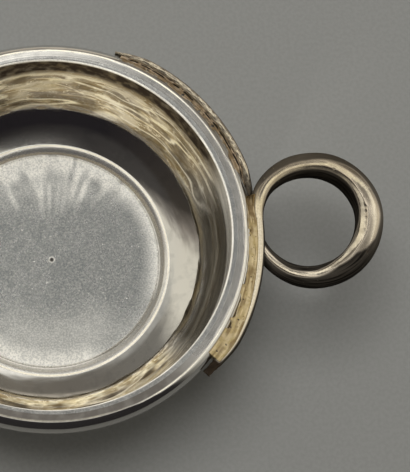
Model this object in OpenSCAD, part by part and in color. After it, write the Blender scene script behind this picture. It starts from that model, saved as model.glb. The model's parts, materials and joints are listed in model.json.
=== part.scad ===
// Tastevin: a shallow raised silver cup for tasting wine. A half-round wire is soldered
// round its lip. The handle is one forged bar: it lies along the rim, turns a full finger
// ring, passes under itself and lies along the rim again, tapering to a tail.
// The origin is the centre of the flat base, +Z is up and +X points to the finger ring.

/* [Bowl] */
// Inside diameter of the mouth
mouth_d = 73.4; // [60:0.1:90]
// Height from the table to the flat of the rim
bowl_h = 24.4; // [18:0.1:34]
// Thickness of the raised sheet
sheet_t = 0.9; // [0.6:0.05:1.6]
// Diameter of the level floor of the well
well_d = 47.5; // [34:0.1:54]
// Width of the riser round the well
riser_w = 1.9; // [1:0.1:4]
// Height of the riser round the well
riser_h = 1.5; // [0.6:0.1:3]
// Slope of the wall where it leaves the riser, in degrees
wall_slope = 13; // [0:1:25]
// How far the wall holds that slope before it turns up
wall_toe = 8; // [1:0.1:12]
// How far the wall straightens below the rim
wall_rise = 11; // [2:0.1:14]
// Radius on the inner edge of the lip
lip_edge_r = 0.3; // [0.1:0.05:0.5]
// Diameter of the compass prick at the centre of the well
prick_d = 0.8; // [0.4:0.1:2]
// Depth of the compass prick
prick_depth = 0.3; // [0.1:0.05:0.5]

/* [Rim wire] */
// Height of the half-round wire
wire_h = 3.8; // [2:0.1:6]
// Width of the flat along the top of the wire
wire_flat = 1.5; // [0.5:0.1:4]

/* [Finger ring] */
// Inside length of the finger ring, out from the rim
ring_hole_l = 19.8; // [15:0.1:26]
// Inside width of the finger ring, along the rim
ring_hole_w = 18.8; // [15:0.1:26]
// Thickness of the bar where the ring is thickest
bar_d = 6; // [4:0.1:8]
// Where the ring is thickest: 1 is half way round, less is nearer the blunt arm
bar_skew = 0.9; // [0.8:0.05:1.1]
// How slowly the bar swells away from the crossing: more is slower
bar_ease = 1; // [1:0.05:2]
// Squareness of the bar: 2 is an ellipse, more is squarer
bar_square = 2.4; // [2:0.1:4]

/* [Arms] */
// Width of the bar where it crosses itself at the rim
arm_w = 2.3; // [1.5:0.1:4]
// Height of the bar along the rim
arm_h = 3; // [2:0.1:4]
// Depth of the middle of the bar below the flat of the rim
arm_drop = 2.4; // [1.6:0.1:4]
// Angle round the rim from the crossing to the blunt end
blunt_deg = 47; // [20:1:80]
// Width that the blunt arm grows to
blunt_w = 3; // [1.5:0.1:4]
// Width at the blunt end itself
blunt_end_w = 2; // [1:0.1:3]
// Length over which the blunt arm narrows to its end
blunt_taper = 9; // [4:0.5:16]
// Length of the sloping cut at the blunt end
blunt_cut = 3; // [1:0.1:6]
// Height left below the sloping cut
blunt_end_h = 0.8; // [0.3:0.1:1.5]
// Angle round the rim from the crossing to the tip of the tail
tail_deg = 68; // [30:1:120]
// Width of the tail arm along the rim
tail_w = 1.8; // [1:0.1:3]
// Width at the tip of the tail
tip_w = 1; // [0.4:0.1:1.5]
// Height at the tip of the tail
tip_h = 2.2; // [0.5:0.1:3]
// Length over which the tail tapers to its tip
tail_taper = 8; // [4:0.5:20]
// Length past the crossing over which the bar narrows to the tail arm
tail_neck = 6.5; // [3:0.5:14]
// How far under the start of the ring the tail begins to climb to the rim
climb_lead = 2.8; // [0:0.1:4]
// Length over which the tail climbs to the rim
climb_len = 8; // [6:0.5:20]

/* [Solder] */
// Leg of the fillet under the rim wire
fillet_leg = 0.8; // [0.3:0.1:2]
// Gap between the rim wire and an arm, which solder fills
seat_gap = 0.2; // [0.1:0.05:0.5]
// Gap between the two strands of the bar at the crossing, which solder fills
cross_gap = 0.6; // [0.3:0.05:1.5]
// Clearance between solder and the metal it joins
solder_fit = 0.03; // [0.01:0.01:0.05]
// How high solder climbs the rim wire along the blunt arm, as an angle on its round
blunt_fill = 55; // [20:1:70]
// How high solder climbs the rim wire along the tail arm, as an angle on its round
tail_fill = 55; // [20:1:70]
// How far solder runs each way from the crossing
cross_run = 3; // [1:0.5:3.5]

/* [Hidden] */

silver = [0.76, 0.74, 0.70];
solder_yellow = [0.72, 0.62, 0.38];
solder_brown = [0.45, 0.34, 0.22];

mouth_r = mouth_d / 2;
well_r = well_d / 2;
crest_r = well_r + riser_w;
lip_r = mouth_r + sheet_t;
wire_r = wire_h / 2;
wire_c = lip_r + wire_flat;
wire_z = bowl_h - wire_r;
wire_foot_z = bowl_h - wire_h;
rim_r = wire_c + wire_r;
collar_z = wire_foot_z - fillet_leg;

ring_rx = ring_hole_l / 2;
ring_ry = ring_hole_w / 2;
ring_x = rim_r + seat_gap + arm_w + ring_rx;
arm_z = bowl_h - arm_drop;
strand_drop = arm_h + cross_gap;

// The tail starts to climb near where the ring's start has moved clear of it, seen from above.
// That depends on how tightly the rim and the oval ring bend away from each other.
neck_w = (arm_w + bar_d) / 2;
tail_mid_r = rim_r + seat_gap + tail_w / 2;
ring_mid_r = pow(ring_ry + neck_w / 2, 2) / (ring_rx + neck_w / 2);
part_run = sqrt((neck_w + tail_w) / (1 / tail_mid_r + 1 / ring_mid_r));
climb_start = arc_deg(part_run - climb_lead);
climb_end = arc_deg(part_run - climb_lead + climb_len);

revolve_fn = 180;
wire_fn = 48;
prick_fn = 24;
riser_steps = 8;
wall_steps = 22;
edge_steps = 3;
bar_sides = 20;
arm_step_deg = 2;
cut_steps = 3;
loop_steps = 60;
fill_steps = 6;
cross_steps = 8;
fill_foot = -20;
cross_spread = 40;

function clamp01(x) = min(1, max(0, x));
function mix(a, b, t) = a + (b - a) * t;
function ease(x) = let (t = clamp01(x)) t * t * (3 - 2 * t);
function arc_mm(deg) = deg * PI / 180 * rim_r;
function arc_deg(mm) = mm * 180 / PI / rim_r;
function unit(v) = v / norm(v);
function reversed(list) = [for (i = [len(list) - 1 : -1 : 0]) list[i]];

function bezier(a, b, c, d, t) =
    let (s = 1 - t)
    s * s * s * a + 3 * s * s * t * b + 3 * s * t * t * c + t * t * t * d;

// Middle of the sheet from the axis out to the collar under the lip, as [r, z].
function sheet_middle() =
    let (
        crest = [crest_r, sheet_t / 2 + riser_h],
        toe = crest + wall_toe * [cos(wall_slope), sin(wall_slope)],
        collar = [mouth_r + sheet_t / 2, collar_z]
    )
    concat(
        [[0, sheet_t / 2]],
        [for (i = [0 : riser_steps]) let (t = i / riser_steps)
            [mix(well_r, crest_r, t), sheet_t / 2 + riser_h * ease(t)]],
        [for (i = [1 : wall_steps])
            bezier(crest, toe, collar - [0, wall_rise], collar, i / wall_steps)]
    );

// The sheet's middle moved sideways by d: d > 0 gives the inside and d < 0 the outside.
// Its first two points bound the level floor, and at its last point the sheet is upright.
function sheet_side(d) =
    let (m = sheet_middle(), last = len(m) - 1)
    [for (i = [0 : last])
        let (
            along = i <= 1 ? [1, 0] : i == last ? [0, 1] : unit(m[i + 1] - m[i - 1]),
            across = [-along.y, along.x]
        )
        m[i] + across * d];

function sheet_outline() =
    concat(
        sheet_side(-sheet_t / 2),
        [[lip_r, bowl_h]],
        [for (i = [0 : edge_steps]) let (a = 90 + 90 * i / edge_steps)
            [mouth_r + lip_edge_r * (1 + cos(a)), bowl_h + lip_edge_r * (sin(a) - 1)]],
        reversed(sheet_side(sheet_t / 2))
    );

// A place along the bar: its middle, the way its outer face looks, its width and height.
function place(x, y, z, face, w, h) = [x, y, z, face, w, h];

function rim_place(deg, w, h, z) =
    let (r = rim_r + seat_gap + w / 2)
    place(r * cos(deg), r * sin(deg), z, deg, w, h);

function blunt_place(deg) =
    let (
        run = arc_mm(deg + blunt_deg),
        full_w = mix(arm_w, blunt_w, ease(-deg / blunt_deg)),
        w = mix(blunt_end_w, full_w, ease(run / blunt_taper)),
        h = mix(blunt_end_h, arm_h, clamp01(run / blunt_cut))
    )
    rim_place(deg, w, h, arm_z - (arm_h - h) / 2);

function loop_place(u) =
    let (
        swell = pow(max(0, sin(180 * pow(u, bar_skew))), bar_ease),
        w = mix(arm_w, bar_d, swell),
        h = mix(arm_h, bar_d, swell),
        turn = 180 - 360 * u,
        x = ring_x + (ring_rx + w / 2) * cos(turn),
        y = (ring_ry + w / 2) * sin(turn)
    )
    place(x, y, arm_z - strand_drop * ease(u), turn + 180, w, h);

function tail_place(deg) =
    let (
        run = arc_mm(tail_deg - deg),
        full_w = mix(arm_w, tail_w, ease(arc_mm(deg) / tail_neck)),
        w = mix(tip_w, full_w, ease(run / tail_taper)),
        h = mix(tip_h, arm_h, ease(run / tail_taper)),
        climb = ease((deg - climb_start) / (climb_end - climb_start))
    )
    rim_place(deg, w, h, arm_z - strand_drop * (1 - climb));

// A point on the bar's skin: a is 0 on its outer face, 90 on top and 180 against the rim.
function skin(p, a, grow = 0) =
    let (
        power = 2 / bar_square,
        side = (p[4] / 2 + grow) * sign(cos(a)) * pow(abs(cos(a)), power),
        up = (p[5] / 2 + grow) * sign(sin(a)) * pow(abs(sin(a)), power)
    )
    [p.x + side * cos(p[3]), p.y + side * sin(p[3]), p.z + up];

// A point on the rim wire's round: a is 0 at its outermost and 90 on top.
function wire_skin(deg, a, grow = 0) =
    let (r = wire_c + (wire_r + grow) * cos(a))
    [r * cos(deg), r * sin(deg), wire_z + (wire_r + grow) * sin(a)];

function steps(from, to, step) =
    let (n = max(1, ceil(abs(to - from) / step)))
    [for (i = [0 : n]) mix(from, to, i / n)];

function bar_places() =
    let (cut_deg = arc_deg(blunt_cut))
    concat(
        [for (deg = steps(-blunt_deg, cut_deg - blunt_deg, cut_deg / cut_steps)) blunt_place(deg)],
        [for (deg = steps(cut_deg - blunt_deg, 0, arm_step_deg)) if (deg > cut_deg - blunt_deg)
            blunt_place(deg)],
        [for (i = [1 : loop_steps]) loop_place(i / loop_steps)],
        [for (deg = steps(0, tail_deg, arm_step_deg)) if (deg > 0) tail_place(deg)]
    );

// A solid through a list of rings, each with the same even number of points.
module loft(rings) {
    n = len(rings[0]);
    last = (len(rings) - 1) * n;
    sides = [
        for (i = [0 : n : last - n], k = [0 : n - 1])
            let (a = i + k, b = i + (k + 1) % n)
            each [[a, b, b + n], [a, b + n, a + n]]
    ];
    caps = [
        for (k = [0 : n / 2 - 2])
            let (a = k, b = k + 1, c = n - 2 - k, d = n - 1 - k)
            each [[d, b, a], [d, c, b], [last + a, last + b, last + d], [last + b, last + c, last + d]]
    ];
    polyhedron([for (ring = rings) each ring], concat(sides, caps), convexity = 8);
}

// Solder in the groove between the rim wire and an arm, filled up to an angle on the wire.
module groove_solder(places, fill) {
    loft([
        for (p = places) concat(
            [for (i = [0 : fill_steps])
                wire_skin(atan2(p.y, p.x), mix(fill_foot, fill, i / fill_steps), solder_fit)],
            [for (i = [0 : fill_steps])
                skin(p, mix(180 - fill, 180 - fill_foot, i / fill_steps), solder_fit)]
        )
    ]);
}

module bowl() {
    color(silver)
    difference() {
        rotate_extrude($fn = revolve_fn) polygon(sheet_outline());
        translate([0, 0, sheet_t - prick_depth])
            cylinder(h = 2 * prick_depth, d1 = 0, d2 = 2 * prick_d, $fn = prick_fn);
    }
}

module rim_wire() {
    color(silver)
    rotate_extrude($fn = revolve_fn)
    intersection() {
        union() {
            translate([wire_c, wire_z]) circle(r = wire_r, $fn = wire_fn);
            translate([lip_r, wire_foot_z]) square([wire_flat, wire_h]);
        }
        translate([lip_r, wire_foot_z]) square([wire_flat + wire_r, wire_h]);
    }
}

module rim_solder() {
    color(solder_brown)
    rotate_extrude($fn = revolve_fn)
        polygon([[lip_r, collar_z], [lip_r + fillet_leg, wire_foot_z], [lip_r, wire_foot_z]]);
}

module handle_bar() {
    color(silver)
    loft([
        for (p = bar_places()) [for (k = [0 : bar_sides - 1]) skin(p, 360 * k / bar_sides)]
    ]);
}

module blunt_arm_solder() {
    cut_deg = arc_deg(blunt_cut);
    color(solder_yellow)
    groove_solder([for (deg = steps(cut_deg - blunt_deg, 0, arm_step_deg)) blunt_place(deg)], blunt_fill);
}

module tail_arm_solder() {
    tip_deg = tail_deg - arc_deg(tail_taper / 2);
    color(solder_brown)
    groove_solder([for (deg = steps(climb_end, tip_deg, arm_step_deg)) tail_place(deg)], tail_fill);
}

module crossing_solder() {
    run_deg = arc_deg(cross_run);
    run_loop = cross_run / (PI * (ring_hole_w + arm_w));
    color(solder_brown)
    loft([
        for (i = [-cross_steps : cross_steps])
            let (
                t = i / cross_steps,
                over = t < 0 ? blunt_place(t * run_deg) : loop_place(t * run_loop),
                under = t < 0 ? loop_place(1 + t * run_loop) : tail_place(t * run_deg)
            )
            concat(
                [for (k = [0 : fill_steps])
                    skin(over, mix(270 - cross_spread, 270 + cross_spread, k / fill_steps), solder_fit)],
                [for (k = [0 : fill_steps])
                    skin(under, mix(90 - cross_spread, 90 + cross_spread, k / fill_steps), solder_fit)]
            )
    ]);
}

bowl();
rim_wire();
rim_solder();
handle_bar();
blunt_arm_solder();
tail_arm_solder();
crossing_solder();
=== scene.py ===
"""A silver tastevin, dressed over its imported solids.

Sizes are in millimetres until a mesh, a lamp or the camera is made, and then in metres.
Angles round the rim start at the finger ring and run towards the tail arm. The tail arm's side is
called far and the blunt arm's side near.
"""

import functools
import itertools
import json
import math
from types import SimpleNamespace

import bpy
import numpy as np
from mathutils import Matrix, Vector


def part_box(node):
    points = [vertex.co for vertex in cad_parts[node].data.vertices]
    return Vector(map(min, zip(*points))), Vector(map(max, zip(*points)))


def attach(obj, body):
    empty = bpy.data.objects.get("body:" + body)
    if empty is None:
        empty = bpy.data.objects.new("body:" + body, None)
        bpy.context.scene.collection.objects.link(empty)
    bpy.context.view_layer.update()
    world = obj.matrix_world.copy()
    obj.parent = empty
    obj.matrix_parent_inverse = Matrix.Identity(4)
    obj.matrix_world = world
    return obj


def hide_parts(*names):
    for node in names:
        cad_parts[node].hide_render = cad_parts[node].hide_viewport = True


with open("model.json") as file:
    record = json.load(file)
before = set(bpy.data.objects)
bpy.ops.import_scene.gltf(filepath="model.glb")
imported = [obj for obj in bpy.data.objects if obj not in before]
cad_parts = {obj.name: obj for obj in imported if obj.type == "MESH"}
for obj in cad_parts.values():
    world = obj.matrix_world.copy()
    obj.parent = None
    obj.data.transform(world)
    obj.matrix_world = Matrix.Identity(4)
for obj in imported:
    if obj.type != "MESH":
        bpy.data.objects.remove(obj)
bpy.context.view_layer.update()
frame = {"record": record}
MM = 0.001

# Sizes that the frame gives
rim_low, rim_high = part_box("rim_wire")
RIM_R = rim_high.x / MM
BOWL_H = rim_high.z / MM
WIRE_H = (rim_high.z - rim_low.z) / MM
ring_mount = next(m for m in frame["record"]["mounts"] if m["name"] == "finger_ring")
RING_X = ring_mount["pos_m"][0] / MM
RING_RY = ring_mount["dims"]["r_mm"]

# Bowl
MOUTH_R = 36.7
SHEET_T = 0.9
WELL_R = 23.75
CREST_R = 25.65
RISER_H = 1.5
WALL_SLOPE = math.radians(13)
WALL_TOE = 8.0
WALL_RISE = 11.0
CREST_IN = 0.15
CREST_OUT = 0.45
LIP_R = MOUTH_R + SHEET_T
LIP_EDGE_R = 0.3
FILLET_LEG = 0.8
COLLAR_Z = BOWL_H - WIRE_H - FILLET_LEG
WELL_LEVEL_R = 5.0
WELL_TILT = math.radians(3.0)
PRICK_R = 0.45
PRICK_DEPTH = 0.3
PRICK_OFF = 0.4

# Rim wire
FLAT_R = 39.1
FLAT_TURN = math.radians(15)
FLAT_EDGE = 0.12
ROUND_R = (RIM_R - FLAT_R) / (1 - math.sin(FLAT_TURN))
ROUND_Z = BOWL_H - ROUND_R * math.cos(FLAT_TURN)
FOOT_Z = BOWL_H - WIRE_H

# Bar
BAR_D = 6.0
BAR_SKEW = 0.9
BAR_SQUARE = 2.4
SEAT_GAP = 0.2
ARM_W = 2.3
ARM_H = 3.0
ARM_Z = BOWL_H - 2.4
STRAND_DROP = ARM_H + 0.6
BLUNT_DEG = 47.0
BLUNT_W = 3.0
BLUNT_END_W = 2.0
BLUNT_TAPER = 9.0
BLUNT_CUT = 3.0
BLUNT_END_H = 0.8
TAIL_DEG = 68.0
TAIL_W = 1.8
TIP_W = 1.0
TIP_H = 2.2
TAIL_TAPER = 8.0
TAIL_NECK = 6.5
CLIMB_LEAD = 2.8
CLIMB_LEN = 8.0
RING_RX = RING_X - RIM_R - SEAT_GAP - ARM_W
NECK_W = (ARM_W + BAR_D) / 2
RING_BEND = (RING_RY + NECK_W / 2) ** 2 / (RING_RX + NECK_W / 2)
PART_RUN = math.sqrt((NECK_W + TAIL_W) / (1 / (RIM_R + SEAT_GAP + TAIL_W / 2) + 1 / RING_BEND))
CLIMB_START = math.degrees((PART_RUN - CLIMB_LEAD) / RIM_R)
CLIMB_END = math.degrees((PART_RUN - CLIMB_LEAD + CLIMB_LEN) / RIM_R)

# Hand-made shape: how far the rim and the mouth are from round
RIM_OFF_ROUND = 0.15
MOUTH_OFF_CENTRE = 0.35

# Stretches round the rim: from, to and the width of the soft edge, in degrees
FAR_WALL = (30, 170, 24)
NEAR_WALL = (190, 308, 18)
FAR_RIM = (60, 150, 30)
NEAR_RIM = (195, 330, 25)
NEAR_FLAT = (195, 300, 20)
TAIL_FLAT = (25, 55, 20)

# Rows and columns of the meshes
BOWL_COLUMNS = 320
RISER_ROWS = 22
CREST_ROWS = 9
WALL_ROWS = 155
OUTSIDE_SKIPS = 4
LIP_ROWS = 10
RIM_ROWS = 480
BLUNT_ROWS = 170
LOOP_ROWS = 370
TAIL_ROWS = 225
BAR_COLUMNS = 96
SOLDER_SIDE = 6
SOLDER_TOP = 34


def ease(x):
    t = np.clip(x, 0.0, 1.0)
    return t * t * (3 - 2 * t)


def mix(a, b, t):
    return a + (b - a) * t


def most(*shares):
    """The largest of several arrays at each place."""
    return functools.reduce(np.maximum, shares)


def within(x, low, high, soft):
    """1 between low and high, falling to 0 over a soft edge on each side."""
    return ease((x - low + soft) / soft) * ease((high + soft - x) / soft)


def turn_within(deg, low, high, soft):
    """within on angles, for a stretch that may run past 180 degrees."""
    return within(np.mod(deg - low + 90, 360) + low - 90, low, high, soft)


def arc_mm(deg):
    return np.radians(deg) * RIM_R


def rim_shift(turn):
    """How far the rim, and what is soldered to it, lies inside a true circle, as a negative length."""
    return RIM_OFF_ROUND * (np.cos(turn) - 1)


def stack(*parts):
    return np.stack(np.broadcast_arrays(*parts), axis=-1)


def turned(r, z, turn):
    """Points of a profile turned about the axis; r may already vary with the turn."""
    return stack(r * np.cos(turn), r * np.sin(turn), z)


def full_turn(count):
    return np.linspace(-math.pi, math.pi, count, endpoint=False)


# Noise

def lattice(cell, seed):
    """A repeatable value from -1 to 1 for each lattice cell."""
    mixed = cell[..., 0] * 73856093 ^ cell[..., 1] * 19349663 ^ cell[..., 2] * 83492791
    mixed = (mixed + seed * 15485863) & 0x7FFFFFFF
    mixed = ((mixed ^ (mixed >> 13)) * 1274126177) & 0x7FFFFFFF
    mixed = ((mixed ^ (mixed >> 16)) * 668265263) & 0x7FFFFFFF
    return (mixed & 0xFFFF) / 32767.5 - 1


def noise(points, seed):
    """Smooth noise from -1 to 1 at an array of points."""
    cell = np.floor(points).astype(np.int64)
    t = ease(points - cell)
    total = 0
    for corner in itertools.product((0, 1), repeat=3):
        weight = np.prod(np.where(corner, t, 1 - t), axis=-1)
        total = total + weight * lattice(cell + np.array(corner), seed)
    return total


def band_noise(turn, fineness, height, seed):
    """Noise on a band round the axis, which closes on itself after a full turn."""
    return noise(turned(fineness, height, turn), seed)


def line_noise(s, seed, across=0, level=0):
    """Noise along a length, and across it where that is given."""
    return noise(stack(s, across, level), seed)


# Meshes

# Materials by name, which is also the name of their slot
MATERIALS = {}


def surface(name, slot, points, loop=False, caps=False, poles=False, **marks):
    """A mesh through rows of closed rings, in place of the node it is named after.

    loop joins the last row to the first and caps closes both ends with a fan. poles closes them with a
    face each, where the rows run the other way round. marks are values at each point for the materials.
    """
    rows, columns = points.shape[:2]
    index = np.arange(rows * columns).reshape(rows, columns)
    near = index if loop else index[:-1]
    far = np.roll(index, -1, axis=0) if loop else index[1:]
    quads = stack(near, np.roll(near, -1, axis=1), np.roll(far, -1, axis=1), far)
    if poles:
        quads = quads[..., [0, 3, 2, 1]]
    faces = quads.reshape(-1, 4).tolist()
    places = points.reshape(-1, 3)
    if poles:
        faces += [index[0].tolist(), index[-1, ::-1].tolist()]
    if caps:
        middles = np.stack([points[0].mean(axis=0), points[-1].mean(axis=0)])
        first, last = len(places), len(places) + 1
        places = np.vstack([places, middles])
        faces += [[first, b, a] for a, b in zip(index[0], np.roll(index[0], -1))]
        faces += [[last, a, b] for a, b in zip(index[-1], np.roll(index[-1], -1))]
    mesh = bpy.data.meshes.new(name)
    mesh.from_pydata((places * MM).tolist(), [], faces)
    for key, mark in marks.items():
        whole = np.broadcast_to(mark, (rows, columns) + mark.shape[2:])
        flat = whole.reshape(rows * columns, -1)
        if caps:
            flat = np.vstack([flat, flat[:columns].mean(axis=0), flat[-columns:].mean(axis=0)])
        vector = flat.shape[1] == 3
        layer = mesh.attributes.new(key, "FLOAT_VECTOR" if vector else "FLOAT", "POINT")
        layer.data.foreach_set("vector" if vector else "value", flat.astype(np.float32).ravel())
    mesh.shade_smooth()
    mesh.update()
    piece = bpy.data.objects.new(name, mesh)
    bpy.context.scene.collection.objects.link(piece)
    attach(piece, "root")
    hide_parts(name)
    mesh.materials.append(MATERIALS[slot])


def profile_length(r, z):
    return np.array([0, *np.cumsum(np.hypot(np.diff(r), np.diff(z)))])


# Bowl: depths of hammer work and wear
BLOW_DEEP = 0.045
RIPPLE_DEEP = 0.009
RING_RIPPLE_DEEP = 0.012
RING_CRINKLE_DEEP = 0.007
WILD_RIPPLE_DEEP = 0.016
WILD_DRAWN_DEEP = 0.05
WILD_CRINKLE_DEEP = 0.014
PLANISH_DEEP = 0.006
RAY_DEEP = 0.004
OUTSIDE_DEEP = 0.03
NICK_DEEP = 0.03
PRICK_EDGE_HIGH = 0.05

# Bowl: where its marks begin
UPPER_R = 32.0
BEAD_IN = 31.5
BEAD_OUT = 32.5
LOW_WALL_R = 29.6
STAIN_TOP_Z = 15.8
COLLAR_MARK_Z = 16.0
LIT_LIP_Z = 16.6
GLINT_TOP_Z = 19.0
AXIS_R = 0.02


def sheet_middle():
    """The sheet's middle from the foot of the riser to the collar, and its unit normals.

    The crest is rounded over a short run, from level to the wall's starting slope.
    """
    t = np.linspace(0, 1, RISER_ROWS)
    level = SHEET_T / 2 + RISER_H
    riser = stack(mix(WELL_R, CREST_R - CREST_IN, t), SHEET_T / 2 + RISER_H * ease(t))
    run = CREST_IN + CREST_OUT
    t = np.linspace(0, 1, CREST_ROWS)[1:]
    crest = stack(CREST_R - CREST_IN + run * t, level + math.tan(WALL_SLOPE) * run * t**3 / 3)
    start = crest[-1]
    toe = start + (WALL_TOE - CREST_OUT) * np.array([math.cos(WALL_SLOPE), math.sin(WALL_SLOPE)])
    collar = np.array([MOUTH_R + SHEET_T / 2, COLLAR_Z])
    rise = collar - np.array([0, WALL_RISE])
    t = np.linspace(0, 1, WALL_ROWS)[1:, None]
    s = 1 - t
    wall = s**3 * start + 3 * s**2 * t * toe + 3 * s * t**2 * rise + t**3 * collar
    middle = np.vstack([riser, crest, wall])
    along = np.gradient(middle, axis=0)
    along[0] = (1, 0)
    along[-1] = (0, 1)
    along /= np.linalg.norm(along, axis=1)[:, None]
    return middle, stack(-along[:, 1], along[:, 0])


def bowl_profile():
    """The whole outline from the middle of the well, over the lip, to the middle of the base."""
    middle, normal = sheet_middle()
    inside = middle + normal * SHEET_T / 2
    outside = middle - normal * SHEET_T / 2
    floor = stack([AXIS_R, 0.15, 0.3, PRICK_R, 0.6, 0.8, *np.linspace(1.1, WELL_R, 40)[:-1]], SHEET_T)
    edge = np.radians(np.linspace(180, 90, 7))
    lip_edge = stack(MOUTH_R + LIP_EDGE_R * (1 + np.cos(edge)), BOWL_H + LIP_EDGE_R * (np.sin(edge) - 1))
    collar_in = stack(MOUTH_R, np.linspace(COLLAR_Z, BOWL_H - LIP_EDGE_R, 10)[1:-1])
    lip_r = [MOUTH_R + 0.5, MOUTH_R + 0.7, LIP_R - 0.02, LIP_R, LIP_R]
    lip = stack(lip_r, BOWL_H - np.array([0, 0, 0, 0, 0.05]))
    collar_out = stack(LIP_R, np.linspace(BOWL_H - 1, COLLAR_Z, 6)[:-1])
    under = outside[::-1][::OUTSIDE_SKIPS]
    base = stack(np.linspace(WELL_R, AXIS_R, 12)[1:], 0.0)
    outline = np.vstack([floor, inside, collar_in, lip_edge, lip, collar_out, under, base])
    inner_rows = len(floor) + len(inside) + len(collar_in)
    return outline, inner_rows


def well_lift(r, turn):
    """How the well's floor is dished: it turns up gently towards its edge, most on the two long sides."""
    side = np.abs(np.sin(turn)) ** 0.8
    power = mix(5.0, 1.8, side)
    reach = (WELL_R - WELL_LEVEL_R) * math.tan(WELL_TILT) / (power + 1)
    return reach * np.maximum((r - WELL_LEVEL_R) / (WELL_R - WELL_LEVEL_R), 0) ** (power + 1)


def well_frost(r, turn, blobs, rays):
    """How pale the well's matt skin is, partly as painted light: a clouded band on its two long sides
    and a white edge all round.
    """
    far = ease((np.sin(turn) - 0.3) / 0.6)
    near = ease((-np.sin(turn) - 0.55) / 0.4)
    far_band = (0.36 + 0.34 * ease(2.5 * rays)) * far * ease((r - 8 - 12 * np.cos(turn) ** 2) / 8)
    near_band = 0.42 * near * ease((r - 9) / 8)
    thin = 1 - 0.75 * within(np.degrees(turn), -60, -30, 16) - 0.35 * near
    edge = thin * ease((r - 18.6 - 0.9 * np.cos(turn)) / 4.4)
    uneven = 0.95 + (0.1 + 0.3 * far) * blobs + 0.45 * far * rays
    pale = (most(far_band, near_band) + edge) * uneven
    return np.clip(pale, 0, 1) * ease((WELL_R + 0.3 - r) / 0.3)


def bowl_grid():
    """The bowl's places, the shares of its sides, and the noise that its shape and its marks share."""
    outline, inner_rows = bowl_profile()
    along = np.gradient(outline, axis=0)
    along /= np.linalg.norm(along, axis=1)[:, None]
    r, z = outline[:, :1], outline[:, 1:]
    s = profile_length(*outline.T)[:, None]
    row = np.arange(len(outline))[:, None]
    turn = full_turn(BOWL_COLUMNS)[None, :]
    deg = np.degrees(turn)
    inner = (row < inner_rows).astype(float)
    far = turn_within(deg, *FAR_WALL)
    near = turn_within(deg, *NEAR_WALL)
    ring = 1 - most(far, near)

    flow = s + 1.3 * band_noise(turn, 3, s / 5, 9) + 0.45 * band_noise(turn, 10, s / 2, 10)
    blows = band_noise(turn, 3.6, s / 3.4, 3)
    ripples = band_noise(turn, 9, s / 1.1, 5)
    drawn = band_noise(turn, 5, flow / 0.6, 7)
    crinkle = band_noise(turn, 20, s / 0.4, 8)
    rays = band_noise(turn, 17, r / 12, 14)
    upper_r = UPPER_R + 0.8 * np.maximum(np.sin(turn), 0) + 1.1 * np.minimum(np.sin(turn), 0)
    upper_r = upper_r + 0.35 * ripples + 0.2 * crinkle + ring * (0.6 * blows + 0.5 * drawn)
    upper = inner * ease((r - upper_r) / (1.0 + 1.2 * ring))
    return SimpleNamespace(
        r=r, z=z, s=s, row=row, turn=turn, deg=deg, inner=inner, inner_rows=inner_rows,
        normal_r=-along[:, 1:], normal_z=along[:, :1], far=far, near=near, ring=ring, upper=upper,
        flow=flow, blows=blows, ripples=ripples, drawn=drawn, crinkle=crinkle, rays=rays,
    )


def bowl_points(g):
    """Places on the bowl's skin, with hammer work, the prick mark, nicks and a mouth out of true."""
    r, z, turn, inner = g.r, g.z, g.turn, g.inner
    wall = inner * ease((r - CREST_R - 0.2) / 1.5) * ease((BOWL_H - 0.8 - z) / 3)
    floor = inner * ease((WELL_R - r) / 1.5)
    outer_wall = (1 - inner) * ease((COLLAR_Z + 0.5 - z) / 2) * ease((z - 0.05) / 2)
    wild = g.upper * (0.35 * g.ring + g.far + 0.8 * g.near)
    planish = noise(turned(r / 3.2, 0, turn), 13)
    lift = wall * (BLOW_DEEP * g.blows + RIPPLE_DEEP * g.ripples)
    lift = lift + wall * g.ring * (RING_RIPPLE_DEEP * g.ripples + RING_CRINKLE_DEEP * g.crinkle)
    wildness = WILD_RIPPLE_DEEP * g.ripples + WILD_DRAWN_DEEP * g.drawn + WILD_CRINKLE_DEEP * g.crinkle
    lift = lift + wall * wild * wildness
    lift = lift + floor * (PLANISH_DEEP * planish + RAY_DEEP * g.rays * g.far * ease((r - 8) / 10))
    lift = lift + outer_wall * OUTSIDE_DEEP * (g.blows - 1)
    prick_edge = within(r, PRICK_R, PRICK_R + 0.1, 0.25)
    lift = lift + inner * (PRICK_EDGE_HIGH * prick_edge - PRICK_DEPTH * ease(1 - r / PRICK_R))
    dish = inner * (r < CREST_R) * well_lift(np.minimum(r, CREST_R), turn)
    dish = dish * ease((CREST_R - 0.3 - r) / 1.5)

    rise = ease((z - RISER_H - SHEET_T) / (COLLAR_Z - RISER_H))
    lip_share = np.clip((LIP_R - r) / SHEET_T, 0, 1)
    off_centre = np.where(z > COLLAR_Z, lip_share, rise) * (g.row < g.inner_rows + LIP_ROWS)
    shift = rise * rim_shift(turn) - off_centre * MOUTH_OFF_CENTRE * np.cos(turn)
    nick_line = within(g.row, g.inner_rows - 1, g.inner_rows + 6, 2)
    nicks = NICK_DEEP * nick_line * ease((band_noise(turn, 15, g.s, 21) - 0.45) / 0.4)
    radius = r + shift + g.normal_r * lift + nicks
    points = turned(radius, z + g.normal_z * lift - 0.5 * nicks + dish, turn)
    points[..., 0] += PRICK_OFF * inner * ease(1 - r / 5)
    return points


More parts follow.
